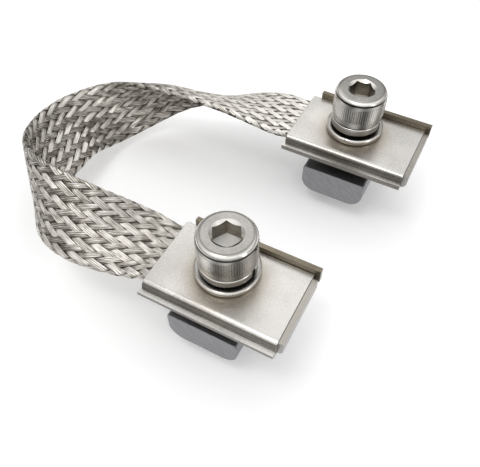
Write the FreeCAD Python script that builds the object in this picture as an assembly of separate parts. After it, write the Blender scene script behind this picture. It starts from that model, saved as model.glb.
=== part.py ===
import FreeCAD, Part
import math
import os

# Solar rail grounding jumper: a flat braided strap looped between two rail clamps. Sizes are in mm.
# X runs across the rail, away from the strap's loop. Y runs along the rail, from the near clamp to the far one.
# Z is up. The origin is the middle of the near clamp's screw hole, on the rail's top.

Vector = FreeCAD.Vector

# Where the far clamp stands from the near one
far_step_x = 7.7
far_step_y = 55.1

# Folded sheet of the trays and covers
sheet = 1.2
bend_inside = 0.5
corner_radius = 0.8
nesting_gap = 0.05
sheet_hole_radius = 4.5

# Washers
washer_radius = 7.3
washer_hole_radius = 4.2
washer_thickness = 1.6
washer_chamfer = 0.3
washer_room = 0.1
spring_washer_radius = 6.35
spring_washer_hole_radius = 4.2
spring_washer_thickness = 2.0
spring_washer_lift = 0.95
spring_washer_slit = 14.0
spring_washer_steps = 40

# Clamp, measured from the screw's axis to the flat of the cover
clamp_left = 14.5
clamp_right = 16.9
clamp_front = 9.9
clamp_back = washer_radius + washer_room
tray_lip = 0.4
front_flange_height = 2.3
back_flange_rise = 1.5
back_flange_setback = 2.2
right_flange_drop = 0.2
relief_width = 1.1
corner_tab_length = 0.5
corner_tab_rise = 0.6

# Braided strap
strap_width = 18.0
strap_side_room = 0.6
strap_thickness = 2.0
strap_edge_thickness = 0.9
strap_tail = 12.5
strap_hole_radius = 4.8
strap_cup = 3.4
plait_length = 4.3
plait_width = 2.0
plait_height = 0.6
braid_settle = 7.0
loop_reach = 63.5
loop_rise = 6.2

# Screw, M8
screw_radius = 4.0
screw_length = 25.0
screw_tip_chamfer = 0.8
head_radius = 6.5
head_height = 8.0
head_rounding = 0.9
head_foot_chamfer = 0.35
socket_across_flats = 6.0
socket_depth = 4.2
socket_mouth_depth = 0.45
socket_floor_cone = 0.9
near_socket_turn = 0.0
far_socket_turn = 12.0

# Rail nut, below the lips of the rail
rail_lip = 3.0
nut_width = 17.0
nut_height = 8.0
nut_corner_radius = 3.8
nut_edge = 0.4
nut_front = 12.2
nut_back = 11.0
thread_clearance = 0.05

# Heights of the stack, from the rail's top
strap_top = sheet + strap_thickness
cover_top = strap_top + sheet
washer_top = cover_top + washer_thickness
head_foot = washer_top + spring_washer_thickness + spring_washer_lift

# Strap's route, from the near clamp to the far one. Each row is a place of its middle: x as a share of the
# loop's reach, y of the step to the far clamp and z of the loop's rise, how far the strap has rolled from
# flat, and how hollow it is, as a share of its cup. At 0 degrees the outer face is up, and at 90 it stands.
strap_clamped_width = clamp_front + clamp_back - 2 * strap_side_room
strap_middle = (clamp_back - clamp_front) / 2
strap_route = [
    (0.398, -0.056, 0.60, 16, 0.03),
    (0.548, -0.096, 0.98, 36, 0.03),
    (0.702, -0.076, 1.00, 57, 0.09),
    (0.831, 0.007, 0.66, 81, 0.21),
    (0.921, 0.136, 0.16, 105, 0.26),
    (0.978, 0.307, -0.19, 128, 0.15),
    (1.000, 0.488, -0.48, 136, 0.06),
    (0.978, 0.635, -0.79, 126, 0.29),
    (0.899, 0.775, -0.85, 99, 0.76),
    (0.750, 0.868, -0.39, 62, 1.00),
    (0.591, 0.904, 0.03, 41, 0.56),
    (0.435, 0.926, 0.35, 27, 0.18),
    (0.272, 0.955, 0.44, 9, 0.03),
]


# A line through the points, with every inner corner rounded.
def rounded_line(points, radius):
    edges = []
    start = points[0]
    for before, corner, after in zip(points, points[1:], points[2:]):
        back = (before - corner).normalize()
        ahead = (after - corner).normalize()
        half_angle = back.getAngle(ahead) / 2
        reach = radius / math.tan(half_angle)
        crown = (back + ahead).normalize() * (radius / math.sin(half_angle) - radius)
        edges.append(Part.makeLine(start, corner + back * reach))
        edges.append(Part.Arc(corner + back * reach, corner + crown, corner + ahead * reach).toShape())
        start = corner + ahead * reach
    edges.append(Part.makeLine(start, points[-1]))
    return Part.Wire(edges)


# A strip of sheet metal: its outer line, bent, given the sheet's thickness inwards, and drawn out.
def bent_strip(outer_points, inwards, length):
    outer_line = rounded_line(outer_points, bend_inside + sheet)
    profile = outer_line.makeOffset2D(inwards * sheet, fill=True, openResult=True)
    return profile.extrude(length)


def block(low, high):
    size = high - low
    return Part.makeBox(size.x, size.y, size.z, low)


def upright_hole(radius, top):
    return Part.makeCylinder(radius, top + 2, Vector(0, 0, -1))


def round_upright_edges(solid, radius, keep):
    edges = [
        edge
        for edge in solid.Edges
        if abs(edge.BoundBox.ZLength - edge.Length) < 1e-6 and keep(edge.CenterOfMass)
    ]
    return solid.makeFillet(radius, edges)


# The lower sheet: a floor with a low front flange, a back flange that stands over the cover, and a right one.
def tray():
    front_face = -clamp_front - bend_inside - sheet - nesting_gap - sheet
    back_face = clamp_back + nesting_gap + sheet
    right_face = clamp_right + nesting_gap + sheet
    left = -clamp_left - tray_lip
    back_height = cover_top + back_flange_rise
    floor_and_flanges = bent_strip(
        [
            Vector(left, front_face, front_flange_height),
            Vector(left, front_face, 0),
            Vector(left, back_face, 0),
            Vector(left, back_face, back_height),
        ],
        -1,
        Vector(clamp_right - left, 0, 0),
    )
    right_flange = bent_strip(
        [
            Vector(0, front_face + sheet + relief_width, 0),
            Vector(right_face, front_face + sheet + relief_width, 0),
            Vector(right_face, front_face + sheet + relief_width, cover_top - right_flange_drop),
        ],
        1,
        Vector(0, back_face - front_face - 2 * sheet - 2 * relief_width, 0),
    )
    tab_foot = sheet + bend_inside + corner_tab_rise
    corner_tab = block(
        Vector(clamp_right - corner_tab_length, clamp_back + nesting_gap, tab_foot),
        Vector(right_face, back_face, back_height),
    )
    setback = block(
        Vector(left - 1, clamp_back - 2, sheet + bend_inside),
        Vector(-clamp_left + back_flange_setback, back_face + 1, back_height + 1),
    )
    folded = floor_and_flanges.cut(setback).fuse([right_flange, corner_tab]).removeSplitter()
    return folded.cut(upright_hole(sheet_hole_radius, cover_top)).removeSplitter()


# The upper sheet: flat over the strap, with its front edge bent down inside the tray's front flange.
def cover():
    front_face = -clamp_front - bend_inside - sheet
    plate = bent_strip(
        [
            Vector(-clamp_left, front_face, sheet + bend_inside),
            Vector(-clamp_left, front_face, cover_top),
            Vector(-clamp_left, clamp_back, cover_top),
        ],
        1,
        Vector(clamp_left + clamp_right, 0, 0),
    )
    rounded = round_upright_edges(plate, corner_radius, lambda middle: middle.y > 0 and middle.x < 0)
    return rounded.cut(upright_hole(sheet_hole_radius, cover_top))


# Middle, roll and cup of the strap all along its route, as two curves on the same parameter.
def strap_curves():
    height = sheet + strap_thickness / 2
    places = [Vector(-clamp_left, strap_middle, height)]
    leans = [Vector(0, 0, 0)]
    for reach, step, rise, roll, cup in strap_route:
        places.append(Vector(-reach * loop_reach, step * far_step_y, rise * loop_rise))
        leans.append(Vector(roll, cup * strap_cup, 0))
    places.append(Vector(far_step_x - clamp_left, far_step_y + strap_middle, height))
    leans.append(Vector(0, 0, 0))
    steps = [0.0]
    for before, after in zip(places, places[1:]):
        steps.append(steps[-1] + before.distanceToPoint(after))
    middle = Part.BSplineCurve()
    middle.interpolate(
        Points=places,
        Parameters=steps,
        InitialTangent=Vector(-1, 0, 0),
        FinalTangent=Vector(1, 0, 0),
        Scale=False,
    )
    lean = Part.BSplineCurve()
    lean.interpolate(
        Points=leans,
        Parameters=steps,
        InitialTangent=Vector(0.01, 0, 0),
        FinalTangent=Vector(-0.01, 0, 0),
        Scale=False,
    )
    return middle, lean, steps[-1]


# How free the strap is of its clamps at a distance along it: 0 at either clamp, 1 in the loop.
def freedom(along, length):
    share = min(along, length - along) / braid_settle
    share = max(0.0, min(1.0, share))
    return share * share * (3 - 2 * share)


# A point on one face of the strap. Side is 1 on the outer face and -1 on the inner one, and crest is 1 on
# top of a plait and 0 in the slit between plaits.
def strap_point(curves, along, share, side, crest):
    middle, lean, length = curves
    place = middle.value(along)
    tangent = middle.tangent(along)[0]
    lean_here = lean.value(along)
    roll = math.radians(lean_here.x)
    inward = tangent.cross(Vector(0, 0, 1)).normalize()
    upward = inward.cross(tangent)
    across_way = inward * math.cos(roll) + upward * math.sin(roll)
    outward = upward * math.cos(roll) - inward * math.sin(roll)
    free = freedom(along, length)
    width = strap_clamped_width + (strap_width - strap_clamped_width) * free
    half = strap_thickness / 2 - plait_height * free * (1 - crest)
    if abs(share) > 0.999:
        half = strap_thickness / 2 + (strap_edge_thickness - strap_thickness) / 2 * free
    cup = lean_here.y * (1 - share * share)
    return place + across_way * (share * width / 2) + outward * (cup + side * half)


def triangle(first, second, third):
    return Part.Face(Part.makePolygon([first, second, third, first]))


# One face of the strap. Its plaits lie in columns along it, and slant one way in one column and the other
# way in the next. Down the middle of a column, crests and slits take turns, and where two columns meet,
# each plait is half way down to its dive under the next one.
def plaited_face(curves, side):
    length = curves[2]
    rows = 2 * round(length / plait_length)
    columns = 2 * round(strap_width / plait_width)
    grid = []
    for row in range(rows + 1):
        line = []
        for column in range(columns + 1):
            share = 2 * column / columns - 1
            along = length * row / rows
            slant = (0, 1, 0, -1)[column % 4] * length / rows * freedom(along, length)
            crest = (row + column // 2) % 2 if column % 2 == 0 else 0.5
            line.append(strap_point(curves, along + slant, share, side, crest))
        grid.append(line)
    return grid


# Two triangles for each four points, split along the shorter diagonal.
def facets(grid):
    faces = []
    for line, next_line in zip(grid, grid[1:]):
        for low, right, up, far in zip(line, line[1:], next_line, next_line[1:]):
            if low.distanceToPoint(far) < right.distanceToPoint(up):
                faces.append(triangle(low, right, far))
                faces.append(triangle(low, far, up))
            else:
                faces.append(triangle(low, right, up))
                faces.append(triangle(right, far, up))
    return faces


def sewn_solid(faces):
    shell = Part.makeShell(faces)
    shell.sewShape()
    solid = Part.makeSolid(Part.Shell(shell.Faces))
    if solid.Volume < 0:
        solid.reverse()
    return solid


# The strap's end inside a clamp: pressed flat, with a hole opened in the braid for the screw.
def strap_end(offset):
    half_width = strap_clamped_width / 2
    flat = block(
        Vector(-clamp_left, strap_middle - half_width, sheet),
        Vector(strap_tail, strap_middle + half_width, strap_top),
    )
    pressed = flat.cut(upright_hole(strap_hole_radius, cover_top))
    pressed.translate(offset)
    return pressed


def strap():
    curves = strap_curves()
    outer = plaited_face(curves, 1)
    inner = plaited_face(curves, -1)
    faces = facets(outer) + facets(inner)
    rims = [
        ([line[0] for line in outer], [line[0] for line in inner]),
        ([line[-1] for line in outer], [line[-1] for line in inner]),
        (outer[0], inner[0]),
        (outer[-1], inner[-1]),
    ]
    for upper, lower in rims:
        for here in range(len(upper) - 1):
            faces.append(triangle(upper[here], upper[here + 1], lower[here]))
            faces.append(triangle(upper[here + 1], lower[here + 1], lower[here]))
    loop = sewn_solid(faces)
    ends = [strap_end(Vector(0, 0, 0)), strap_end(Vector(far_step_x, far_step_y, 0))]
    return loop.fuse(ends).Solids[0]


def flat_washer():
    ring = Part.makeCylinder(washer_radius, washer_thickness, Vector(0, 0, cover_top))
    outer_edges = [edge for edge in ring.Edges if edge.Closed]
    ring = ring.makeChamfer(washer_chamfer, outer_edges)
    return ring.cut(upright_hole(washer_hole_radius, head_foot))


# A split ring that climbs by its lift in one turn: one square section after the other, from end to end.
def spring_washer():
    grid = []
    for step in range(spring_washer_steps + 1):
        turned = spring_washer_slit / 2 + (360 - spring_washer_slit) * step / spring_washer_steps
        way = Vector(math.cos(math.radians(turned)), math.sin(math.radians(turned)), 0)
        low = Vector(0, 0, washer_top + spring_washer_lift * step / spring_washer_steps)
        high = low + Vector(0, 0, spring_washer_thickness)
        inner = way * spring_washer_hole_radius
        outer = way * spring_washer_radius
        grid.append([low + inner, low + outer, high + outer, high + inner, low + inner])
    ends = [Part.Face(Part.makePolygon(corners)) for corners in (grid[0], grid[-1])]
    return sewn_solid(facets(grid) + ends)


def socket_cutter(turn):
    corner_radius_here = socket_across_flats / math.sqrt(3)
    head_top = head_foot + head_height
    corners = [
        Vector(
            corner_radius_here * math.cos(math.radians(60 * corner + turn)),
            corner_radius_here * math.sin(math.radians(60 * corner + turn)),
            head_top - socket_depth,
        )
        for corner in range(7)
    ]
    walls = Part.Face(Part.makePolygon(corners)).extrude(Vector(0, 0, socket_depth + 1))
    mouth = Part.makeCone(
        corner_radius_here - socket_mouth_depth,
        corner_radius_here + socket_mouth_depth,
        2 * socket_mouth_depth,
        Vector(0, 0, head_top - socket_mouth_depth),
    )
    floor = Part.makeCone(
        0.05,
        socket_across_flats / 2 - 0.05,
        socket_floor_cone,
        Vector(0, 0, head_top - socket_depth - socket_floor_cone),
    )
    return walls.fuse([mouth, floor])


# The screw: one turned outline for head and shank, its shoulder in two steps, then the hexagonal socket.
def cap_screw(turn):
    tip = head_foot - screw_length
    head_top = head_foot + head_height
    slant = head_rounding * (1 - math.sqrt(0.5))
    outline = [
        Vector(0, 0, tip),
        Vector(screw_radius - screw_tip_chamfer, 0, tip),
        Vector(screw_radius, 0, tip + screw_tip_chamfer),
        Vector(screw_radius, 0, head_foot),
        Vector(head_radius - head_foot_chamfer, 0, head_foot),
        Vector(head_radius, 0, head_foot + head_foot_chamfer),
        Vector(head_radius, 0, head_top - head_rounding),
        Vector(head_radius - slant, 0, head_top - slant),
        Vector(head_radius - head_rounding, 0, head_top),
        Vector(0, 0, head_top),
        Vector(0, 0, tip),
    ]
    body = Part.Face(Part.makePolygon(outline)).revolve(Vector(0, 0, 0), Vector(0, 0, 1), 360)
    return body.cut(socket_cutter(turn))


# A short bar of aluminium with its lower corners well rounded, bored for the screw.
def rail_nut():
    half = nut_width / 2
    top = -rail_lip
    bottom = top - nut_height
    bar = block(Vector(-half, -nut_front, bottom), Vector(half, nut_back, top))
    lower_edges = [
        edge
        for edge in bar.Edges
        if edge.BoundBox.YLength > nut_front and edge.CenterOfMass.z < bottom + 1e-6
    ]
    bar = bar.makeFillet(nut_corner_radius, lower_edges)
    upper_edges = [
        edge for edge in bar.Edges if edge.BoundBox.YLength > nut_front and edge.CenterOfMass.z > top - 1e-6
    ]
    bar = bar.makeChamfer(nut_edge, upper_edges)
    bore = Part.makeCylinder(screw_radius + thread_clearance, nut_height + 2, Vector(0, 0, bottom - 1))
    return bar.cut(bore)


def save(name, shape):
    shape.exportStep(os.path.join("parts", name + ".step"))


def moved(shape, offset):
    copy = shape.copy()
    copy.translate(offset)
    return copy


os.makedirs("parts", exist_ok=True)
save("braided_strap", strap())
clamp_places = {
    "near": (Vector(0, 0, 0), near_socket_turn),
    "far": (Vector(far_step_x, far_step_y, 0), far_socket_turn),
}
clamp_pieces = {
    "tray": tray(),
    "cover": cover(),
    "flat_washer": flat_washer(),
    "spring_washer": spring_washer(),
    "rail_nut": rail_nut(),
}
for side, (offset, turn) in clamp_places.items():
    for piece, shape in clamp_pieces.items():
        save(side + "_" + piece, moved(shape, offset))
    save(side + "_cap_screw", moved(cap_screw(turn), offset))
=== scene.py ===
import bpy
import math
import numpy as np
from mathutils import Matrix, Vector


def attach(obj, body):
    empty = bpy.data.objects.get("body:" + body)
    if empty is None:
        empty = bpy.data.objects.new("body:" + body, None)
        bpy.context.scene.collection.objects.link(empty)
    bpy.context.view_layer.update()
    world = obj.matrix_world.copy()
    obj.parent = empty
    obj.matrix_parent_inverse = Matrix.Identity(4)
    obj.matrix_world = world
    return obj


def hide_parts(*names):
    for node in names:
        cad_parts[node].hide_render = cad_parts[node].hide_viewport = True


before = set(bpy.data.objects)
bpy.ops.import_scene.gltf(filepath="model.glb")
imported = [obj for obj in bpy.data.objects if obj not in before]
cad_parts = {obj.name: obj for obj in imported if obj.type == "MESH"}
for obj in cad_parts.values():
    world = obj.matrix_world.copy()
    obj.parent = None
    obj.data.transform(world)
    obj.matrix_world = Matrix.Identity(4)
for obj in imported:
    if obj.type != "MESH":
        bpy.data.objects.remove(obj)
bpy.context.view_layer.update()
mm = 0.001
nearClamp = (0.0, 0.0)
farClamp = (7.7, 55.1)


# small helpers

def deselectAll():
    if bpy.context.mode != "OBJECT":
        bpy.ops.object.mode_set(mode="OBJECT")
    bpy.ops.object.select_all(action="DESELECT")


def selectOnly(piece):
    deselectAll()
    piece.select_set(True)
    bpy.context.view_layer.objects.active = piece


def applyModifiers(piece):
    selectOnly(piece)
    for modifier in list(piece.modifiers):
        bpy.ops.object.modifier_apply(modifier=modifier.name)


def settle(piece):  # the place goes into the mesh, as on the CAD nodes
    selectOnly(piece)
    bpy.ops.object.transform_apply(location=True, rotation=True, scale=True)


def cutAway(piece, cutter):
    settle(cutter)
    cut = piece.modifiers.new("cut", "BOOLEAN")
    cut.object = cutter
    cut.operation = "DIFFERENCE"
    applyModifiers(piece)
    bpy.data.objects.remove(cutter)


def easeEdges(piece, width, segments):
    ease = piece.modifiers.new("ease", "BEVEL")
    ease.width = width * mm
    ease.segments = segments
    ease.limit_method = "ANGLE"
    ease.angle_limit = math.radians(30)
    applyModifiers(piece)


def smoothByAngle(piece, degrees=35):
    selectOnly(piece)
    bpy.ops.object.shade_smooth_by_angle(angle=math.radians(degrees))


def flattenShading(piece):  # the broad faces decide the normals
    weigh = piece.modifiers.new("weigh", "WEIGHTED_NORMAL")
    weigh.keep_sharp = True
    weigh.weight = 100
    applyModifiers(piece)


def keepValues(piece, name, domain, values):
    layer = piece.data.attributes.new(name, "FLOAT", domain)
    layer.data.foreach_set("value", np.array(values, np.float32))


def markFacing(piece):  # how far each corner turns up: 0 down, 0.5 upright, 1 up
    facing = [corner.vector.z * 0.5 + 0.5 for corner in piece.data.corner_normals]
    keepValues(piece, "facing", "CORNER", facing)


def markPaintedGleam(piece, clamp, start, reflectionStreaks):  # painted reflection: soft upright light and dark streaks round a turned side
    gleam = []
    for loop, corner in zip(piece.data.loops, piece.data.corner_normals):
        place = piece.data.vertices[loop.vertex_index].co / mm
        angle = math.degrees(math.atan2(place.y - clamp[1], place.x - clamp[0])) - start
        upright = max(0.0, 1 - 2 * abs(corner.vector.z))
        streak = 0.0
        for times, first, share in reflectionStreaks:
            streak += share * math.cos(math.radians(times * (angle - first)))
        gleam.append(1 + upright * streak)
    keepValues(piece, "gleam", "CORNER", gleam)


def meshPiece(name, points, faces, edges=()):
    mesh = bpy.data.meshes.new(name)
    mesh.from_pydata([tuple(p) for p in points], edges, faces)
    mesh.update()
    piece = bpy.data.objects.new(name, mesh)
    bpy.context.scene.collection.objects.link(piece)
    return piece


def tubeFaces(rows, ring, start=0):  # the walls between rings of points, then both ends
    faces = []
    for row in range(rows - 1):
        for k in range(ring):
            a, b = start + row * ring + k, start + row * ring + (k + 1) % ring
            faces.append((a, a + ring, b + ring, b))
    faces.append(tuple(start + k for k in range(ring)))
    faces.append(tuple(start + (rows - 1) * ring + k for k in range(ring))[::-1])
    return faces


def wear(piece, *materials):
    piece.data.materials.clear()
    for material in materials:
        piece.data.materials.append(material)


# steps that the materials share

def startMaterial(name):
    material = bpy.data.materials.new(name)
    material.use_nodes = True
    nodes = material.node_tree.nodes
    return material, nodes, material.node_tree.links, nodes["Principled BSDF"]


def addNode(nodes, kind, **settings):
    node = nodes.new(kind)
    for key, value in settings.items():
        setattr(node, key, value)
    return node


def mathOn(nodes, links, operation, *values):  # each value is a socket or a number
    node = addNode(nodes, "ShaderNodeMath", operation=operation)
    for socket, value in zip(node.inputs, values):
        if isinstance(value, bpy.types.NodeSocket):
            links.new(value, socket)
        else:
            socket.default_value = value
    return node.outputs[0]


def multiplyColours(nodes, links, first, second):
    mix = addNode(nodes, "ShaderNodeMix", data_type="RGBA", blend_type="MULTIPLY")
    mix.inputs[0].default_value = 1.0
    links.new(first, mix.inputs[6])
    links.new(second, mix.inputs[7])
    return mix.outputs[2]


def objectPattern(nodes, links, scale=(1, 1, 1), turn=(0, 0, 0)):  # stretched by scale, then turned
    place = addNode(nodes, "ShaderNodeTexCoord")
    mapping = addNode(nodes, "ShaderNodeMapping", vector_type="TEXTURE")
    mapping.inputs["Scale"].default_value = scale
    mapping.inputs["Rotation"].default_value = turn
    links.new(place.outputs["Object"], mapping.inputs["Vector"])
    return mapping.outputs["Vector"]


def noiseOn(nodes, links, vector, scale, detail, roughness=0.55):
    noise = addNode(nodes, "ShaderNodeTexNoise")
    noise.inputs["Scale"].default_value = scale
    noise.inputs["Detail"].default_value = detail
    noise.inputs["Roughness"].default_value = roughness
    links.new(vector, noise.inputs["Vector"])
    return noise.outputs["Fac"]


def rampOn(nodes, links, value, stops):
    ramp = addNode(nodes, "ShaderNodeValToRGB")
    elements = ramp.color_ramp.elements
    while len(elements) < len(stops):
        elements.new(0.5)
    for element, (place, colour) in zip(elements, stops):
        element.position = place
        element.color = (*colour, 1)
    links.new(value, ramp.inputs["Fac"])
    return ramp.outputs["Color"]


def greyStops(*stops, warmth=0.0):  # a warm grey has more red and less blue
    return [(place, (value * (1 + warmth), value, value * (1 - 1.6 * warmth))) for place, value in stops]


def bumpOn(nodes, links, height, strength, distance):
    bump = addNode(nodes, "ShaderNodeBump")
    bump.inputs["Strength"].default_value = strength
    bump.inputs["Distance"].default_value = distance
    links.new(height, bump.inputs["Height"])
    return bump.outputs["Normal"]


def finishMetal(nodes, links, shader, grain, start, polish, bump):  # roughness and bump follow the grain
    stops = greyStops((start, polish[0]), (0.7, polish[1]))
    links.new(rampOn(nodes, links, grain, stops), shader.inputs["Roughness"])
    links.new(bumpOn(nodes, links, grain, *bump), shader.inputs["Normal"])
    shader.inputs["Metallic"].default_value = 1.0


def paintLightByFacing(nodes, links, tone, facingLight):  # painted highlight and shade: each stop gives how far a face turns up, and its share of the tone
    facing = addNode(nodes, "ShaderNodeAttribute", attribute_name="facing")
    shares = rampOn(nodes, links, facing.outputs["Fac"], greyStops(*facingLight))
    return multiplyColours(nodes, links, tone, shares)


# painted reflection streaks scale the tone of upright faces
def toneByPaintedGleam(nodes, links, tone):
    gleam = addNode(nodes, "ShaderNodeAttribute", attribute_name="gleam")
    paintedStreaks = addNode(nodes, "ShaderNodeVectorMath", operation="SCALE")
    links.new(tone, paintedStreaks.inputs[0])
    links.new(gleam.outputs["Fac"], paintedStreaks.inputs["Scale"])
    return paintedStreaks.outputs["Vector"]


# folded sheet: satin and finely mottled, with painted highlight and shade bands by facing, and a painted
# brown shadow and reflection round the washers

sheetLook = {
    "broadGrain": 90, "fineGrain": 2300, "fineShare": 0.45, "toneRange": (0.42, 0.58),
    "polish": (0.30, 0.42), "bump": (0.5, 0.00004), "washerShadeShift": (0.4, -1.6), "washerShadeReach": 16,
    # painted shadow and reflection of the washers: the tone by distance from each screw
    "washerShade": [(0.36, (0.36, 0.32, 0.27)), (0.42, (0.56, 0.51, 0.45)), (0.50, (0.77, 0.73, 0.68)),
            (0.60, (0.93, 0.91, 0.89)), (0.74, (1, 1, 1))],
    # painted highlight and shade on the sheet: a bright band on the bend, then a dark one
    "facingLight": [(0.0, 0.45), (0.5, 0.60), (0.64, 0.46), (0.78, 0.62), (0.90, 1.12), (0.97, 1.0)],
    "flangeFacingShade": [(0.5, 0.85), (0.97, 0.68)],
}


def shadeRoundWashers(nodes, links, place, tone):  # painted shadow and reflection of the washers, a little to the front of each screw
    shift, aways = sheetLook["washerShadeShift"], []
    for centre in (nearClamp, farClamp):
        moved = [-(at + by) * mm for at, by in zip(centre, shift)]
        flat = addNode(nodes, "ShaderNodeMapping")
        flat.inputs["Location"].default_value = (*moved, 0)
        flat.inputs["Scale"].default_value = (1, 1, 0)
        links.new(place, flat.inputs["Vector"])
        away = addNode(nodes, "ShaderNodeVectorMath", operation="LENGTH")
        links.new(flat.outputs["Vector"], away.inputs[0])
        aways.append(away.outputs["Value"])
    nearest = mathOn(nodes, links, "MINIMUM", *aways)
    share = mathOn(nodes, links, "MULTIPLY", nearest, 1 / (sheetLook["washerShadeReach"] * mm))
    return multiplyColours(nodes, links, tone, rampOn(nodes, links, share, sheetLook["washerShade"]))


def rolledSheet(name, low, high, warmth, facingLight=sheetLook["facingLight"]):
    material, nodes, links, shader = startMaterial(name)
    plain = objectPattern(nodes, links)
    broad = noiseOn(nodes, links, plain, sheetLook["broadGrain"], 3)
    grain = noiseOn(nodes, links, plain, sheetLook["fineGrain"], 2)
    blend = addNode(nodes, "ShaderNodeMix", data_type="FLOAT")
    blend.inputs[0].default_value = sheetLook["fineShare"]
    links.new(broad, blend.inputs[2])
    links.new(grain, blend.inputs[3])
    start, end = sheetLook["toneRange"]
    tone = rampOn(nodes, links, blend.outputs[0], greyStops((start, low), (end, high), warmth=warmth))
    # painted highlight and shade bands by how far each face turns up
    tone = paintLightByFacing(nodes, links, tone, facingLight)
    # painted brown shadow and reflection round the washers
    tone = shadeRoundWashers(nodes, links, plain, tone)
    links.new(tone, shader.inputs["Base Color"])
    finishMetal(nodes, links, shader, grain, 0.3, sheetLook["polish"], sheetLook["bump"])
    return material


# screws and washers: finely grained steel, with painted highlights and shade by how far a face turns up

turnedLook = {
    "broadGrain": 220, "fineGrain": 1800, "bump": (0.06, 0.00003), "washerPolish": (0.21, 0.24),
    # painted highlight and shade on the screw: bright sides, a dark line under the crown, a bright rounding
    # and mouth
    "screwFacingLight": [(0.42, 0.6), (0.48, 1.40), (0.54, 1.35), (0.57, 0.09), (0.70, 0.12), (0.76, 3.1),
                   (0.92, 3.0), (0.985, 1.0)],
    # painted highlights on the washers' eased rims and sides, and painted shade on their tops
    "flatFacingLight": [(0.35, 3.0), (0.45, 1.9), (0.55, 1.9), (0.65, 3.0), (0.9, 2.8), (0.97, 0.9)],
    "springFacingLight": [(0.35, 1.5), (0.45, 1.0), (0.55, 1.1), (0.65, 2.8), (0.9, 2.6), (0.97, 0.35)],
}


def turnedSteel(name, low, high, polish, warmth=0.035, facingLight=None, paintedStreaks=False):
    material, nodes, links, shader = startMaterial(name)
    plain = objectPattern(nodes, links)
    broad = noiseOn(nodes, links, plain, turnedLook["broadGrain"], 3)
    fine = noiseOn(nodes, links, plain, turnedLook["fineGrain"], 3)
    tone = rampOn(nodes, links, broad, greyStops((0.3, low), (0.7, high), warmth=warmth))
    if facingLight is not None:
        tone = paintLightByFacing(nodes, links, tone, facingLight)
    if paintedStreaks:
        tone = toneByPaintedGleam(nodes, links, tone)
    links.new(tone, shader.inputs["Base Color"])
    finishMetal(nodes, links, shader, fine, 0.35, polish, turnedLook["bump"])
    return material


def shadedMillAluminium():  # bar stock, drawn lengthwise and sawn at its ends, its tone darkened as painted shade
    facts = {
        "drawn": (1, 30, 1), "lineGrain": 2400, "polish": (0.34, 0.50), "bump": (0.3, 0.00005),
        "sawn": (1, 1, 7), "sawTurn": -40, "sawGrain": 2100,
        "dark": (0.235, 0.235, 0.245), "light": (0.29, 0.29, 0.305),
    }
    material, nodes, links, shader = startMaterial("shadedMillAluminium")
    drawn = objectPattern(nodes, links, facts["drawn"])
    lines = noiseOn(nodes, links, drawn, facts["lineGrain"], 3)
    sawn = objectPattern(nodes, links, facts["sawn"], (0, math.radians(facts["sawTurn"]), 0))
    cloud = noiseOn(nodes, links, sawn, facts["sawGrain"], 3)
    links.new(rampOn(nodes, links, cloud, [(0.35, facts["dark"]), (0.65, facts["light"])]),
              shader.inputs["Base Color"])
    finishMetal(nodes, links, shader, lines, 0.3, facts["polish"], facts["bump"])
    return material


def braidWire():  # fine tinned wires that lie side by side along each strand
    facts = {
        "wires": 4,
        "dark": (0.03, 0.026, 0.021), "middle": (0.345, 0.312, 0.270), "light": (0.95, 0.915, 0.86),
        # each unevenness: its scale along and across the strand, its detail and its share of the tone
        "uneven": [((0.4, 6.5), 4, 1.5), ((0.3, 0.8), 2, 1.2)], "unevenRoughness": 0.6,
        "wireShare": 0.44, "toneShift": -1.60, "bump": (0.8, 0.00010),
        "metallic": 0.9, "roughness": 0.36, "longGleam": 0.85, "gleamTurn": 0.25,
    }
    material, nodes, links, shader = startMaterial("braidWire")
    strand = addNode(nodes, "ShaderNodeUVMap", uv_map="strand")
    wires = addNode(nodes, "ShaderNodeTexWave", wave_type="BANDS", bands_direction="Y")
    wires.inputs["Scale"].default_value = facts["wires"] * math.pi / 10
    wires.inputs["Distortion"].default_value = 0.9
    wires.inputs["Detail"].default_value = 1.0
    wires.inputs["Detail Scale"].default_value = 0.5
    links.new(strand.outputs["UV"], wires.inputs["Vector"])
    # the tone attribute holds each strand's painted light and shade
    total = addNode(nodes, "ShaderNodeAttribute", attribute_name="tone").outputs["Fac"]
    for scale, detail, share in facts["uneven"]:
        mapping = addNode(nodes, "ShaderNodeMapping")
        mapping.inputs["Scale"].default_value = (*scale, 1)
        links.new(strand.outputs["UV"], mapping.inputs["Vector"])
        uneven = noiseOn(nodes, links, mapping.outputs["Vector"], 1.0, detail, facts["unevenRoughness"])
        total = mathOn(nodes, links, "MULTIPLY_ADD", uneven, share, total)
    total = mathOn(nodes, links, "MULTIPLY_ADD", wires.outputs["Fac"], facts["wireShare"], total)
    centred = mathOn(nodes, links, "ADD", total, facts["toneShift"])
    stops = [(0.05, facts["dark"]), (0.5, facts["middle"]), (0.95, facts["light"])]
    links.new(rampOn(nodes, links, centred, stops), shader.inputs["Base Color"])
    links.new(bumpOn(nodes, links, wires.outputs["Fac"], *facts["bump"]), shader.inputs["Normal"])
    shader.inputs["Metallic"].default_value = facts["metallic"]
    shader.inputs["Roughness"].default_value = facts["roughness"]
    alongWires = addNode(nodes, "ShaderNodeTangent", direction_type="UV_MAP", uv_map="strand")
    links.new(alongWires.outputs["Tangent"], shader.inputs["Tangent"])
    shader.inputs["Anisotropic"].default_value = facts["longGleam"]
    shader.inputs["Anisotropic Rotation"].default_value = facts["gleamTurn"]
    return material


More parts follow.
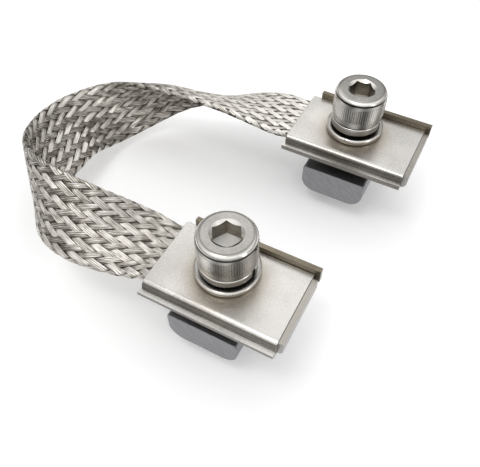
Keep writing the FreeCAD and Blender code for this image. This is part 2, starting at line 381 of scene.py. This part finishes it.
def darkCore():  # the shade between the wires, seen through the slits
    facts = {"grain": 900, "dark": (0.03, 0.027, 0.023), "light": (0.07, 0.062, 0.055)}
    material, nodes, links, shader = startMaterial("darkCore")
    cloud = noiseOn(nodes, links, objectPattern(nodes, links), facts["grain"], 2)
    links.new(rampOn(nodes, links, cloud, [(0.3, facts["dark"]), (0.7, facts["light"])]),
              shader.inputs["Base Color"])
    shader.inputs["Metallic"].default_value = 0.3
    shader.inputs["Roughness"].default_value = 0.7
    return material


# the sheets get painted highlight and shade bands by facing, and the painted shadow round the washers
sheetSteel = rolledSheet("rolledSheet", 0.48, 0.61, 0.03)
# painted shade on the flanges' inner faces and the back flange's top, brown and dull
flangePaintedShade = rolledSheet("flangePaintedShade", 0.19, 0.27, 0.15, sheetLook["flangeFacingShade"])
# darker cut edge of the right flange, and painted shade on the front faces of tray and cover
edgeAndFrontShade = rolledSheet("edgeAndFrontShade", 0.26, 0.36, 0.06)
# the screws get painted highlight and shade by facing, and painted reflection streaks
screwSteel = turnedSteel("turnedSteel", 0.235, 0.30, (0.16, 0.28),
                         facingLight=turnedLook["screwFacingLight"], paintedStreaks=True)
# painted shade: the socket's walls, dark brown
socketWallShade = turnedSteel("socketWallShade", 0.07, 0.27, (0.30, 0.45), 0.12)
# the washers get painted highlights on their rims and painted shade on their tops
washerSteel = turnedSteel("washerSteel", 0.30, 0.34, turnedLook["washerPolish"],
                          facingLight=turnedLook["flatFacingLight"])
springSteel = turnedSteel("springSteel", 0.29, 0.34, turnedLook["washerPolish"],
                          facingLight=turnedLook["springFacingLight"])
# painted highlight: the drilled floor of the socket nearly white
socketFloorHighlight = turnedSteel("socketFloorHighlight", 0.90, 0.99, (0.45, 0.60), 0.01)
nutMetal = shadedMillAluminium()
wireMetal = braidWire()
coreShade = darkCore()
print("materials made")


# braided strap

# strandWidth, dip and the two rows of tones have one value for each way that the strands run,
# and places are shares of the strap's length
strap = {
    "clampLeft": 14.5, "middleY": -1.25, "seat": 2.2, "tail": 12.5, "inside": 2.5,
    "width": 18.0, "clampedWidth": 16.1, "settle": 7.0, "cup": 3.4, "reach": 63.5, "rise": 6.2,
    "strandsEachWay": 22, "spacing": 4.3, "strandWidth": (1.54, 1.47), "strandThickness": 0.24,
    "lift": 0.12, "wall": 0.60, "stride": 0.62, "steepness": 2.8, "wander": 0.045, "wanderRate": (0.3, 0.5),
    # tone with painted light and shade along the outer face and along the inner one, and painted glints on
    # the inner one
    "outerPlaces": (0.10, 0.22, 0.40, 0.75, 1.0),
    "outerPaintedLight": ((0.76, 0.71, 0.60, 0.82, 1.20), (0.67, 0.45, 0.32, 0.62, 0.94)),
    "innerPlaces": (0.50, 0.57, 0.66, 0.75),
    "innerPaintedLight": ((0.54, 0.56, 0.58, 0.36), (1.00, 0.90, 0.57, 0.33)),
    # painted shade where a strand goes under, at one end of where it lies on top, and in the slit beside it
    "toneSpread": 0.05, "overBase": 1.15, "overGain": 1.6,
    "dip": (0.05, 0.20), "dipGain": 1.5, "dipBase": 0.4,
    "latePlaces": (0.75, 0.92), "deep": (0.5, 0.95), "slit": (0.30, 0.90), "slitPoint": 2, "mapStep": 1.37,
}
# middle of the strap: shares of its reach, of the way between the clamps and of its rise,
# then its roll in degrees and a share of its cup
strapRoute = [
    (0.398, -0.056, 0.60, 16, 0.03), (0.548, -0.096, 0.98, 36, 0.03), (0.702, -0.076, 1.00, 57, 0.09),
    (0.831, 0.007, 0.66, 81, 0.21), (0.921, 0.136, 0.16, 105, 0.26), (0.978, 0.307, -0.19, 128, 0.15),
    (1.000, 0.488, -0.48, 136, 0.06), (0.978, 0.635, -0.79, 126, 0.29), (0.899, 0.775, -0.85, 99, 0.76),
    (0.750, 0.868, -0.39, 62, 1.00), (0.591, 0.904, 0.03, 41, 0.56), (0.435, 0.926, 0.35, 27, 0.18),
    (0.272, 0.955, 0.44, 9, 0.03),
]
# one strand's section: shares of its width and thickness, and the painted shade on each way's strands there
strandSection = [
    (-0.5, -0.1, 0.5, 0.0), (-0.44, 0.36, 0.85, 0.02), (-0.37, 0.44, 1.0, 1.0), (0.0, 0.49, 1.0, 1.0),
    (0.46, 0.38, 1.0, 1.0), (0.5, -0.1, 0.5, 0.6), (0.28, -0.5, 0.3, 0.3), (-0.28, -0.5, 0.3, 0.3),
]


def smoothLine(marks, values, startSlope, endSlope):  # the curve that bends least through all its points
    marks, values = np.array(marks, float), np.array(values, float)
    gaps = np.diff(marks)
    count = len(marks)
    matrix, side = np.zeros((count, count)), np.zeros(values.shape)
    steps = np.diff(values, axis=0) / gaps[:, None]
    matrix[0, :2] = 2 * gaps[0], gaps[0]
    side[0] = 6 * (steps[0] - startSlope)
    matrix[-1, -2:] = gaps[-1], 2 * gaps[-1]
    side[-1] = 6 * (endSlope - steps[-1])
    for k in range(1, count - 1):
        matrix[k, k - 1:k + 2] = gaps[k - 1], 2 * (gaps[k - 1] + gaps[k]), gaps[k]
        side[k] = 6 * (steps[k] - steps[k - 1])
    bends = np.linalg.solve(matrix, side)

    def at(place):
        k = np.clip(np.searchsorted(marks, place, side="right") - 1, 0, count - 2)
        gap, ahead, behind = gaps[k][:, None], (place - marks[k])[:, None], (marks[k + 1] - place)[:, None]
        value = (bends[k] * behind ** 3 + bends[k + 1] * ahead ** 3) / (6 * gap)
        value += ((values[k] / gap - bends[k] * gap / 6) * behind
                  + (values[k + 1] / gap - bends[k + 1] * gap / 6) * ahead)
        slope = (bends[k + 1] * ahead ** 2 - bends[k] * behind ** 2) / (2 * gap)
        slope += (values[k + 1] - values[k]) / gap - (bends[k + 1] - bends[k]) * gap / 6
        return value, slope

    return at


startRow = [-strap["clampLeft"], strap["middleY"], strap["seat"], 0, 0]
endRow = [farClamp[0] - strap["clampLeft"], farClamp[1] + strap["middleY"], strap["seat"], 0, 0]
routeScale = np.array([-strap["reach"], farClamp[1], strap["rise"], 1, strap["cup"]])
routeRows = np.array([startRow] + [list(row * routeScale) for row in np.array(strapRoute)] + [endRow])
routeMarks = np.concatenate([[0], np.cumsum(np.linalg.norm(np.diff(routeRows[:, :3], axis=0), axis=1))])
routeLength = routeMarks[-1]
middleAt = smoothLine(routeMarks, routeRows[:, :3], np.array([-1.0, 0, 0]), np.array([1.0, 0, 0]))
leanAt = smoothLine(routeMarks, routeRows[:, 3:], np.zeros(2), np.zeros(2))


def onStrap(along, across, height):  # points, from their distances along, across and off the middle
    inside = np.clip(along, 0, routeLength)
    place, slope = middleAt(inside)
    lean, _ = leanAt(inside)
    ahead = slope / np.linalg.norm(slope, axis=1)[:, None]
    inward = np.cross(ahead, [0.0, 0.0, 1.0])
    inward /= np.linalg.norm(inward, axis=1)[:, None]
    upward = np.cross(inward, ahead)
    roll = np.radians(lean[:, 0])[:, None]
    sideways = inward * np.cos(roll) + upward * np.sin(roll)
    outward = upward * np.cos(roll) - inward * np.sin(roll)
    free = np.clip(np.minimum(inside, routeLength - inside) / strap["settle"], 0, 1)
    free = free * free * (3 - 2 * free)
    width = strap["clampedWidth"] + (strap["width"] - strap["clampedWidth"]) * free
    share = np.clip(2 * across / strap["width"], -1.1, 1.1)
    cup = lean[:, 1] * (1 - share ** 2)
    place = place + ahead * (along - inside)[:, None]
    return place + sideways * (across * width / strap["width"])[:, None] + outward * (cup + height)[:, None]


# the flattened tube that the strands lie on: its flat width, one edge's bend and the whole way round
tubeRadius = strap["wall"]
tubeFlat = strap["width"] - 2 * (tubeRadius + strap["lift"] + strap["strandThickness"] / 2)
tubeTurn = math.pi * tubeRadius
tubeRound = 2 * (tubeFlat + tubeTurn)


def aroundTube(travel, lift):  # the way round goes along the top wall, an edge, the bottom wall, an edge
    travel = np.mod(travel, tubeRound)
    across, height = np.empty_like(travel), np.empty_like(travel)
    out = tubeRadius + lift
    top = travel < tubeFlat
    across[top], height[top] = travel[top] - tubeFlat / 2, out[top]
    edge = (travel >= tubeFlat) & (travel < tubeFlat + tubeTurn)
    angle = (travel[edge] - tubeFlat) / tubeRadius
    across[edge], height[edge] = tubeFlat / 2 + np.sin(angle) * out[edge], np.cos(angle) * out[edge]
    bottom = (travel >= tubeFlat + tubeTurn) & (travel < 2 * tubeFlat + tubeTurn)
    across[bottom], height[bottom] = tubeFlat / 2 - (travel[bottom] - tubeFlat - tubeTurn), -out[bottom]
    edge = travel >= 2 * tubeFlat + tubeTurn
    angle = (travel[edge] - 2 * tubeFlat - tubeTurn) / tubeRadius
    across[edge], height[edge] = -tubeFlat / 2 - np.sin(angle) * out[edge], -np.cos(angle) * out[edge]
    return across, height


def braidStrands():  # each strand goes over two of the other way's and under two, round a flattened tube
    count, spread = strap["strandsEachWay"], strap["toneSpread"]
    pitchRound = tubeRound / count
    rise = pitchRound / strap["spacing"]
    slant = math.atan(rise)
    stations = np.arange(-strap["inside"], routeLength + strap["inside"], strap["stride"])
    places = stations[:, None] / routeLength
    rows, ring = len(stations), len(strandSection)
    wideShare, tallShare, *sectionShade = np.array(strandSection).T
    seeded = np.random.default_rng(7)
    points, faces, strandMap, shadedTones = [], [], [], []
    for family, way in enumerate((1, -1)):
        for number in range(count):
            wide = wideShare * strap["strandWidth"][family]
            along = stations[:, None] - way * wide * math.sin(slant)
            centre = number * pitchRound + way * stations[:, None] * rise
            phase = math.pi * (centre / pitchRound + 0.25)
            weave = np.clip(strap["steepness"] * way * np.sin(phase), -1, 1)
            rate = seeded.uniform(*strap["wanderRate"])
            wander = strap["wander"] * np.sin(stations[:, None] * rate + seeded.uniform(0, 6.28))
            lift = strap["lift"] * weave + tallShare * strap["strandThickness"]
            across, height = aroundTube((centre + wander + wide * math.cos(slant)).ravel(), lift.ravel())
            points.append(onStrap(along.ravel(), across, height))
            # a strand's tone, with painted light and shade along the strap and on the inner face, and a
            # random spread
            inner = np.clip(0.5 - height, 0, 1)
            share = np.repeat(stations / routeLength, ring)
            litTone = np.interp(share, strap["outerPlaces"], strap["outerPaintedLight"][family]) * (1 - inner)
            litTone += (np.interp(share, strap["innerPlaces"], strap["innerPaintedLight"][family]) * inner
                    + seeded.uniform(-spread, spread))
            # its painted shade
            over = np.clip(strap["overBase"] + strap["overGain"] * weave, 0, 1)
            ending = np.clip(strap["dipGain"] * way * np.cos(phase) - strap["dipBase"], 0, 1)
            dip = 1 - strap["dip"][family] * ending
            deep = np.interp(places, strap["latePlaces"], strap["deep"])
            slit = np.interp(places, strap["latePlaces"], strap["slit"]) * (family == 1)
            slit = slit * (np.arange(ring) == strap["slitPoint"])
            shade = (1 - deep + deep * over) * dip * sectionShade[family] * (1 - slit)
            shadedTones.append(litTone * shade.ravel())
            mapAcross = np.tile(wideShare + 0.5, rows) + number * strap["mapStep"]
            strandMap.append(np.stack([np.repeat(stations, ring), mapAcross], 1))
            faces += tubeFaces(rows, ring, (family * count + number) * rows * ring)
    return np.concatenate(points) * mm, faces, np.concatenate(strandMap), np.concatenate(shadedTones)


strandPoints, strandFaces, strandMap, strandShadedTones = braidStrands()
braid = meshPiece("braid", strandPoints, strandFaces)
uvLayer = braid.data.uv_layers.new(name="strand")
loopPoints = np.empty(len(braid.data.loops), int)
braid.data.loops.foreach_get("vertex_index", loopPoints)
uvLayer.data.foreach_set("uv", np.array(strandMap, np.float32)[loopPoints].ravel())
keepValues(braid, "tone", "POINT", strandShadedTones)
wear(braid, wireMetal)
smoothByAngle(braid, 60)
print("braid made", len(strandFaces))


def strapCore():  # fills the flattened tube, so that no light comes through the slits
    facts = {"stations": 120, "pointsAcross": 9, "spread": 0.95, "margin": 0.4, "half": 0.28}
    count, half = facts["pointsAcross"], facts["half"]
    across = np.linspace(-facts["spread"], facts["spread"], count) * (strap["width"] / 2 - facts["margin"])
    rows = []
    for along in np.linspace(-strap["inside"], routeLength + strap["inside"], facts["stations"]):
        top = onStrap(np.full(count, along), across, np.full(count, half))
        bottom = onStrap(np.full(count, along), across[::-1], np.full(count, -half))
        rows.append(np.concatenate([top, bottom]))
    piece = meshPiece("strapCore", np.concatenate(rows) * mm, tubeFaces(len(rows), 2 * count))
    wear(piece, coreShade)
    return piece


core = strapCore()


def strapEnd(name, clamp):  # the pressed end between tray and cover
    facts = {"overlap": 1.0, "thickness": 1.96, "hole": 4.8, "cutDepth": 6, "ease": 0.25}
    length = strap["clampLeft"] - facts["overlap"] + strap["tail"]
    middle = (-strap["clampLeft"] + facts["overlap"] + strap["tail"]) / 2 + clamp[0]
    centre = Vector((middle, strap["middleY"] + clamp[1], strap["seat"]))
    deselectAll()
    bpy.ops.mesh.primitive_cube_add(size=1, location=centre * mm)
    piece = bpy.context.object
    piece.name = name
    piece.scale = (length * mm, strap["clampedWidth"] * mm, facts["thickness"] * mm)
    settle(piece)
    bpy.ops.mesh.primitive_cylinder_add(vertices=64, radius=facts["hole"] * mm, depth=facts["cutDepth"] * mm,
                                        location=(clamp[0] * mm, clamp[1] * mm, strap["seat"] * mm))
    cutAway(piece, bpy.context.object)
    easeEdges(piece, facts["ease"], 3)
    smoothByAngle(piece)
    # painted shade: the pressed end wears the dark core's colour
    wear(piece, coreShade)
    return piece


strapEnds = [strapEnd("nearStrapEnd", nearClamp), strapEnd("farStrapEnd", farClamp)]
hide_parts("braided_strap")
for piece in [braid, core] + strapEnds:
    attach(piece, "clamped_strap")
print("strap dressed")


# folded sheets, washers and nuts: the CAD form with its edges eased

eased = {
    "sheet": 0.16, "nut": 0.2, "flatWasher": 0.34, "springWasher": 0.24, "smoothing": 40,
    # where a sheet gets painted shade or a darker cut edge: places from the clamp's screw, then heights,
    # then normals
    "backFlange": 5, "rightFlange": 14, "backInside": 7.3, "rightEdge": 16.9, "front": -11,
    "backHeight": 5.6, "edgeHeight": 3.9, "steep": -0.7, "turned": 0.3, "level": 0.5, "fronting": -0.2,
}


def easedCopy(node, name, width):
    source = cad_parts[node]
    piece = bpy.data.objects.new(name, source.data.copy())
    bpy.context.scene.collection.objects.link(piece)
    selectOnly(piece)
    bpy.ops.object.mode_set(mode="EDIT")
    bpy.ops.mesh.select_all(action="SELECT")
    bpy.ops.mesh.remove_doubles(threshold=0.000005)
    bpy.ops.mesh.dissolve_limited(angle_limit=math.radians(1.0))
    bpy.ops.object.mode_set(mode="OBJECT")
    easeEdges(piece, width, 2)
    smoothByAngle(piece, eased["smoothing"])
    flattenShading(piece)
    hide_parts(node)
    return piece


def dressSheet(piece, clamp):  # painted shade makes the flanges' inner faces brown and the front faces darker; the right flange's cut edge is darker too
    wear(piece, sheetSteel, flangePaintedShade, edgeAndFrontShade)
    for face in piece.data.polygons:
        across, along = face.center.x / mm - clamp[0], face.center.y / mm - clamp[1]
        tall, normal = face.center.z / mm, face.normal
        back = normal.y < eased["steep"] and along > eased["backFlange"]
        right = normal.x < eased["steep"] and across > eased["rightFlange"]
        inside = along > eased["backInside"] and tall > eased["backHeight"] and normal.y < eased["turned"]
        edge = across > eased["rightEdge"] and tall > eased["edgeHeight"]
        edge = edge and normal.x < eased["turned"] and normal.z > eased["level"]
        front = along < eased["front"] and normal.y < eased["fronting"]
        # painted shade on the flanges' inner faces and the back flange's top
        if back or right or inside:
            face.material_index = 1
        # darker cut edge, and painted shade on the front faces
        elif edge or front:
            face.material_index = 2
    markFacing(piece)


for side, clamp in (("near", nearClamp), ("far", farClamp)):
    tray = easedCopy(side + "_tray", side + "Tray", eased["sheet"])
    cover = easedCopy(side + "_cover", side + "Cover", eased["sheet"])
    for piece in (tray, cover):
        dressSheet(piece, clamp)
        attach(piece, "clamped_strap")
    nut = easedCopy(side + "_rail_nut", side + "RailNut", eased["nut"])
    wear(nut, nutMetal)
    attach(nut, side + "_nut")
    for node, name, width, steel in (("flat_washer", "FlatWasher", eased["flatWasher"], washerSteel),
                                     ("spring_washer", "SpringWasher", eased["springWasher"], springSteel)):
        washer = easedCopy(side + "_" + node, side + name, width)
        wear(washer, steel)
        markFacing(washer)
        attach(washer, "clamped_strap")
print("sheets, nuts and washers dressed")


# cap screws

screw = {
    "headFoot": 8.95, "headHeight": 8.0, "headRadius": 6.5, "footInset": 0.45,
    "ridges": 72, "ridgeDepth": 0.20,
    # painted reflection streaks round the head: times round, first angle and share of each
    "reflectionStreaks": ((9, -61, 0.36), (3, -122, 0.42), (1, -150, 0.22)), "streakTurn": -1.5,
    "knurlLow": 10.7, "knurlHigh": 14.8, "rounding": 1.3, "crownInset": 0.08, "crownSteps": 8,
    "socket": 5.8, "socketDepth": 4.2, "socketReach": 3.5, "floorReach": 1.2,
    "mouthRadius": 3.6, "mouthDepth": 0.75, "mouthOver": 0.4, "mouthSlope": 0.84,
    "drillShare": 0.98, "drillDepth": 0.95, "drillSink": 0.465,
    "shankRadius": 3.98, "rootRadius": 3.36, "pitch": 1.25, "length": 25.0, "threadStart": 0.9,
    "flanks": (0.14, 0.56, 0.72, 1.15), "windSteps": 40, "tipHeight": 1.1, "tipUnder": -0.1, "tipOver": 0.3,
}


def screwHead(name):
    foot, top, radius = screw["headFoot"], screw["headFoot"] + screw["headHeight"], screw["headRadius"]
    low, high, sides = screw["knurlLow"], screw["knurlHigh"], 2 * screw["ridges"]
    deselectAll()
    bpy.ops.mesh.primitive_circle_add(vertices=sides, radius=(radius - screw["footInset"]) * mm,
                                      fill_type="NOTHING", location=(0, 0, foot * mm))
    head = bpy.context.object
    head.name = name
    settle(head)
    # the side, which stands a little back below and above the knurl, then the rounded crown
    profile = [(radius - 0.12, foot + 0.22), (radius - 0.1, low - 0.06), (radius, low + 0.1),
               (radius, high - 0.1), (radius - 0.1, high + 0.06)]
    for k in range(screw["crownSteps"] + 1):
        angle = math.radians(90 / screw["crownSteps"] * k)
        profile.append((radius - screw["crownInset"] - screw["rounding"] * (1 - math.cos(angle)),
                        top - screw["rounding"] * (1 - math.sin(angle))))
    bpy.ops.object.mode_set(mode="EDIT")
    bpy.ops.mesh.select_all(action="SELECT")
    here = (radius - screw["footInset"], foot)
    for wide, tall in profile:
        bpy.ops.mesh.extrude_region_move(TRANSFORM_OT_translate={"value": (0, 0, (tall - here[1]) * mm)})
        share = wide / here[0]
        bpy.ops.transform.resize(value=(share, share, 1), center_override=(0, 0, 0))
        here = (wide, tall)
    bpy.ops.mesh.edge_face_add()
    bpy.ops.object.mode_set(mode="OBJECT")
    # knurl: every second upright edge of the band goes in
    for point in head.data.vertices:
        place = round(math.degrees(math.atan2(point.co.y, point.co.x)) / (360 / sides))
        if low < point.co.z / mm < high and place % 2:
            point.co.x *= (radius - screw["ridgeDepth"]) / radius
            point.co.y *= (radius - screw["ridgeDepth"]) / radius
    selectOnly(head)
    bpy.ops.object.mode_set(mode="EDIT")
    bpy.ops.mesh.select_all(action="DESELECT")
    bpy.ops.mesh.select_mode(type="EDGE")
    bpy.ops.mesh.select_non_manifold()
    bpy.ops.mesh.edge_face_add()
    bpy.ops.mesh.select_all(action="SELECT")
    bpy.ops.mesh.normals_make_consistent(inside=False)
    bpy.ops.object.mode_set(mode="OBJECT")
    return head


def cutSocket(head, top, floor, turn):  # six walls, a countersunk mouth and a drilled floor
    hexRadius = screw["socket"] / math.sqrt(3)
    wallDepth = screw["socketDepth"] + 1
    over, slope = screw["mouthOver"], screw["mouthSlope"]
    rise = screw["mouthRadius"] - hexRadius + screw["mouthDepth"]
    bpy.ops.mesh.primitive_cylinder_add(vertices=6, radius=hexRadius * mm, depth=wallDepth * mm,
                                        location=(0, 0, (floor + wallDepth / 2) * mm),
                                        rotation=(0, 0, math.radians(30 + turn)))
    walls = bpy.context.object
    bpy.ops.mesh.primitive_cone_add(vertices=96, radius1=(screw["mouthRadius"] - rise) * mm,
                                    radius2=(screw["mouthRadius"] + over) * mm,
                                    depth=(rise + over) * slope * mm,
                                    location=(0, 0, (top + (over - rise) * (slope / 2)) * mm))
    mouth = bpy.context.object
    bpy.ops.mesh.primitive_cone_add(vertices=48, radius1=0,
                                    radius2=screw["socket"] / 2 * screw["drillShare"] * mm,
                                    depth=screw["drillDepth"] * mm,
                                    location=(0, 0, (floor - screw["drillSink"]) * mm))
    drill = bpy.context.object
    for cutter in (walls, mouth, drill):
        cutAway(head, cutter)


def screwShank(name, foot):  # one pitch of thread screwed up round the axis, a tip, and a stem inside both
    crest, root, pitch = screw["shankRadius"], screw["rootRadius"], screw["pitch"]
    tip = foot - screw["length"]
    start = tip + screw["threadStart"]
    leave, reach, part, back = screw["flanks"]
    outline = [(root, 0), (root, leave), (crest, reach), (crest, part), (root, back), (root, pitch)]
    thread = meshPiece(name + "Thread", [(r * mm, 0, (start + z) * mm) for r, z in outline], [],
                       [(k, k + 1) for k in range(len(outline) - 1)])
    wind = thread.modifiers.new("wind", "SCREW")
    wind.angle = 2 * math.pi
    wind.screw_offset = pitch * mm
    wind.iterations = int((foot - start) / pitch)
    wind.steps = screw["windSteps"]
    wind.render_steps = screw["windSteps"]
    wind.use_merge_vertices = True
    wind.merge_threshold = 0.00001
    applyModifiers(thread)
    deselectAll()
    bpy.ops.mesh.primitive_cone_add(vertices=64, radius1=(root + screw["tipUnder"]) * mm,
                                    radius2=(root + screw["tipOver"]) * mm, depth=screw["tipHeight"] * mm,
                                    location=(0, 0, (tip + screw["tipHeight"] / 2) * mm))
    tipCone = bpy.context.object
    settle(tipCone)
    deselectAll()
    bpy.ops.mesh.primitive_cylinder_add(vertices=48, radius=(root - 0.02) * mm, depth=(foot - tip - 1) * mm,
                                        location=(0, 0, ((foot + tip + 1) / 2) * mm))
    stem = bpy.context.object
    settle(stem)
    return [thread, tipCone, stem]


def capScrew(name, clamp, turn):
    foot, top = screw["headFoot"], screw["headFoot"] + screw["headHeight"]
    floor = top - screw["socketDepth"]
    head = screwHead(name)
    cutSocket(head, top, floor, turn)
    shank = screwShank(name, foot)
    deselectAll()
    for part in shank + [head]:
        part.select_set(True)
    bpy.context.view_layer.objects.active = head
    bpy.ops.object.join()
    head.location = (clamp[0] * mm, clamp[1] * mm, 0)
    settle(head)
    smoothByAngle(head, 32)
    flattenShading(head)
    wear(head, screwSteel, socketWallShade, socketFloorHighlight)
    for face in head.data.polygons:
        beside = math.hypot(face.center.x / mm - clamp[0], face.center.y / mm - clamp[1])
        tall = face.center.z / mm
        if beside < screw["socketReach"] and floor - screw["floorReach"] < tall < top - 0.1:
            # the socket's walls get painted shade, its floor a painted highlight
            if abs(face.normal.z) < 0.3:
                face.material_index = 1
            elif tall < floor + 0.1:
                face.material_index = 2
    markFacing(head)
    markPaintedGleam(head, clamp, screw["streakTurn"] * turn, screw["reflectionStreaks"])
    return head


for side, clamp, turn in (("near", nearClamp, 0), ("far", farClamp, 12)):
    piece = capScrew(side + "CapScrew", clamp, turn)
    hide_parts(side + "_cap_screw")
    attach(piece, side + "_screw")
print("cap screws made")


# floor, light and camera

def paleFloor():
    facts = {"lowest": -16.6, "size": 4, "tone": 0.96, "roughness": 0.8, "shine": 0.1, "whitening": 0.12}
    deselectAll()
    bpy.ops.mesh.primitive_plane_add(size=facts["size"], location=(0, 0, facts["lowest"] * mm))
    floor = bpy.context.object
    floor.name = "floor"
    material, nodes, links, shader = startMaterial("paleFloor")
    shader.inputs["Base Color"].default_value = (facts["tone"], facts["tone"], facts["tone"], 1)
    shader.inputs["Roughness"].default_value = facts["roughness"]
    shader.inputs["Specular IOR Level"].default_value = facts["shine"]
    # seen straight or in a reflection it glows a little, and it keeps the shadow
    rays = addNode(nodes, "ShaderNodeLightPath")
    seen = rays.outputs["Is Camera Ray"]
    for name in ("Is Glossy Ray", "Is Transmission Ray"):
        seen = mathOn(nodes, links, "MAXIMUM", seen, rays.outputs[name])
    shader.inputs["Emission Color"].default_value = (1, 1, 1, 1)
    links.new(mathOn(nodes, links, "MULTIPLY", seen, facts["whitening"]), shader.inputs["Emission Strength"])
    wear(floor, material)


def softWorld():  # bright overhead and dim near the horizon, so that metal has something to show
    heights = [(0.0, 0.26), (0.35, 0.42), (0.62, 0.95), (0.9, 1.15)]
    world = bpy.data.worlds.new("softWorld")
    bpy.context.scene.world = world
    world.use_nodes = True
    nodes, links = world.node_tree.nodes, world.node_tree.links
    place = addNode(nodes, "ShaderNodeTexCoord")
    split = addNode(nodes, "ShaderNodeSeparateXYZ")
    links.new(place.outputs["Generated"], split.inputs["Vector"])
    shade = rampOn(nodes, links, split.outputs["Z"], greyStops(*heights))
    links.new(shade, nodes["Background"].inputs["Color"])
    nodes["Background"].inputs["Strength"].default_value = 1.0


lamps = {  # place, aim, size and power
    "overLamp": ((-0.06, -0.14, 0.46), (-0.01, 0.02, 0), (0.16, 0.10), 0.32),
    "backLamp": ((-0.15, 0.345, 0.405), (0, 0.03, 0), (0.26, 0.22), 0.185),
    "sideLamp": ((0.42, -0.05, 0.16), (0, 0.02, 0), (0.08, 0.30), 0.20),
}


def softLamp(name, place, aim, size, power):
    deselectAll()
    bpy.ops.object.light_add(type="AREA", location=place)
    lamp = bpy.context.object
    lamp.name = name
    lamp.data.shape = "RECTANGLE"
    lamp.data.size, lamp.data.size_y = size
    lamp.data.energy = power
    direction = Vector(aim) - Vector(place)
    lamp.rotation_euler = direction.to_track_quat("-Z", "Y").to_euler()


def photoCamera():
    facts = {"place": (33.73, -58.08, 102.39), "tilt": 38.07, "turn": 27.93, "lens": 41.74, "sensor": 36}
    deselectAll()
    bpy.ops.object.camera_add(location=Vector(facts["place"]) * mm)
    camera = bpy.context.object
    camera.rotation_euler = (math.radians(facts["tilt"]), 0, math.radians(facts["turn"]))
    camera.data.lens = facts["lens"]
    camera.data.sensor_width = facts["sensor"]
    camera.data.sensor_fit = "HORIZONTAL"
    camera.data.clip_start = 0.005
    bpy.context.scene.camera = camera


paleFloor()
softWorld()
for name, (place, aim, size, power) in lamps.items():
    softLamp(name, place, aim, size, power)
photoCamera()
bpy.context.scene.view_settings.view_transform = "Standard"
print("floor, light and camera set")
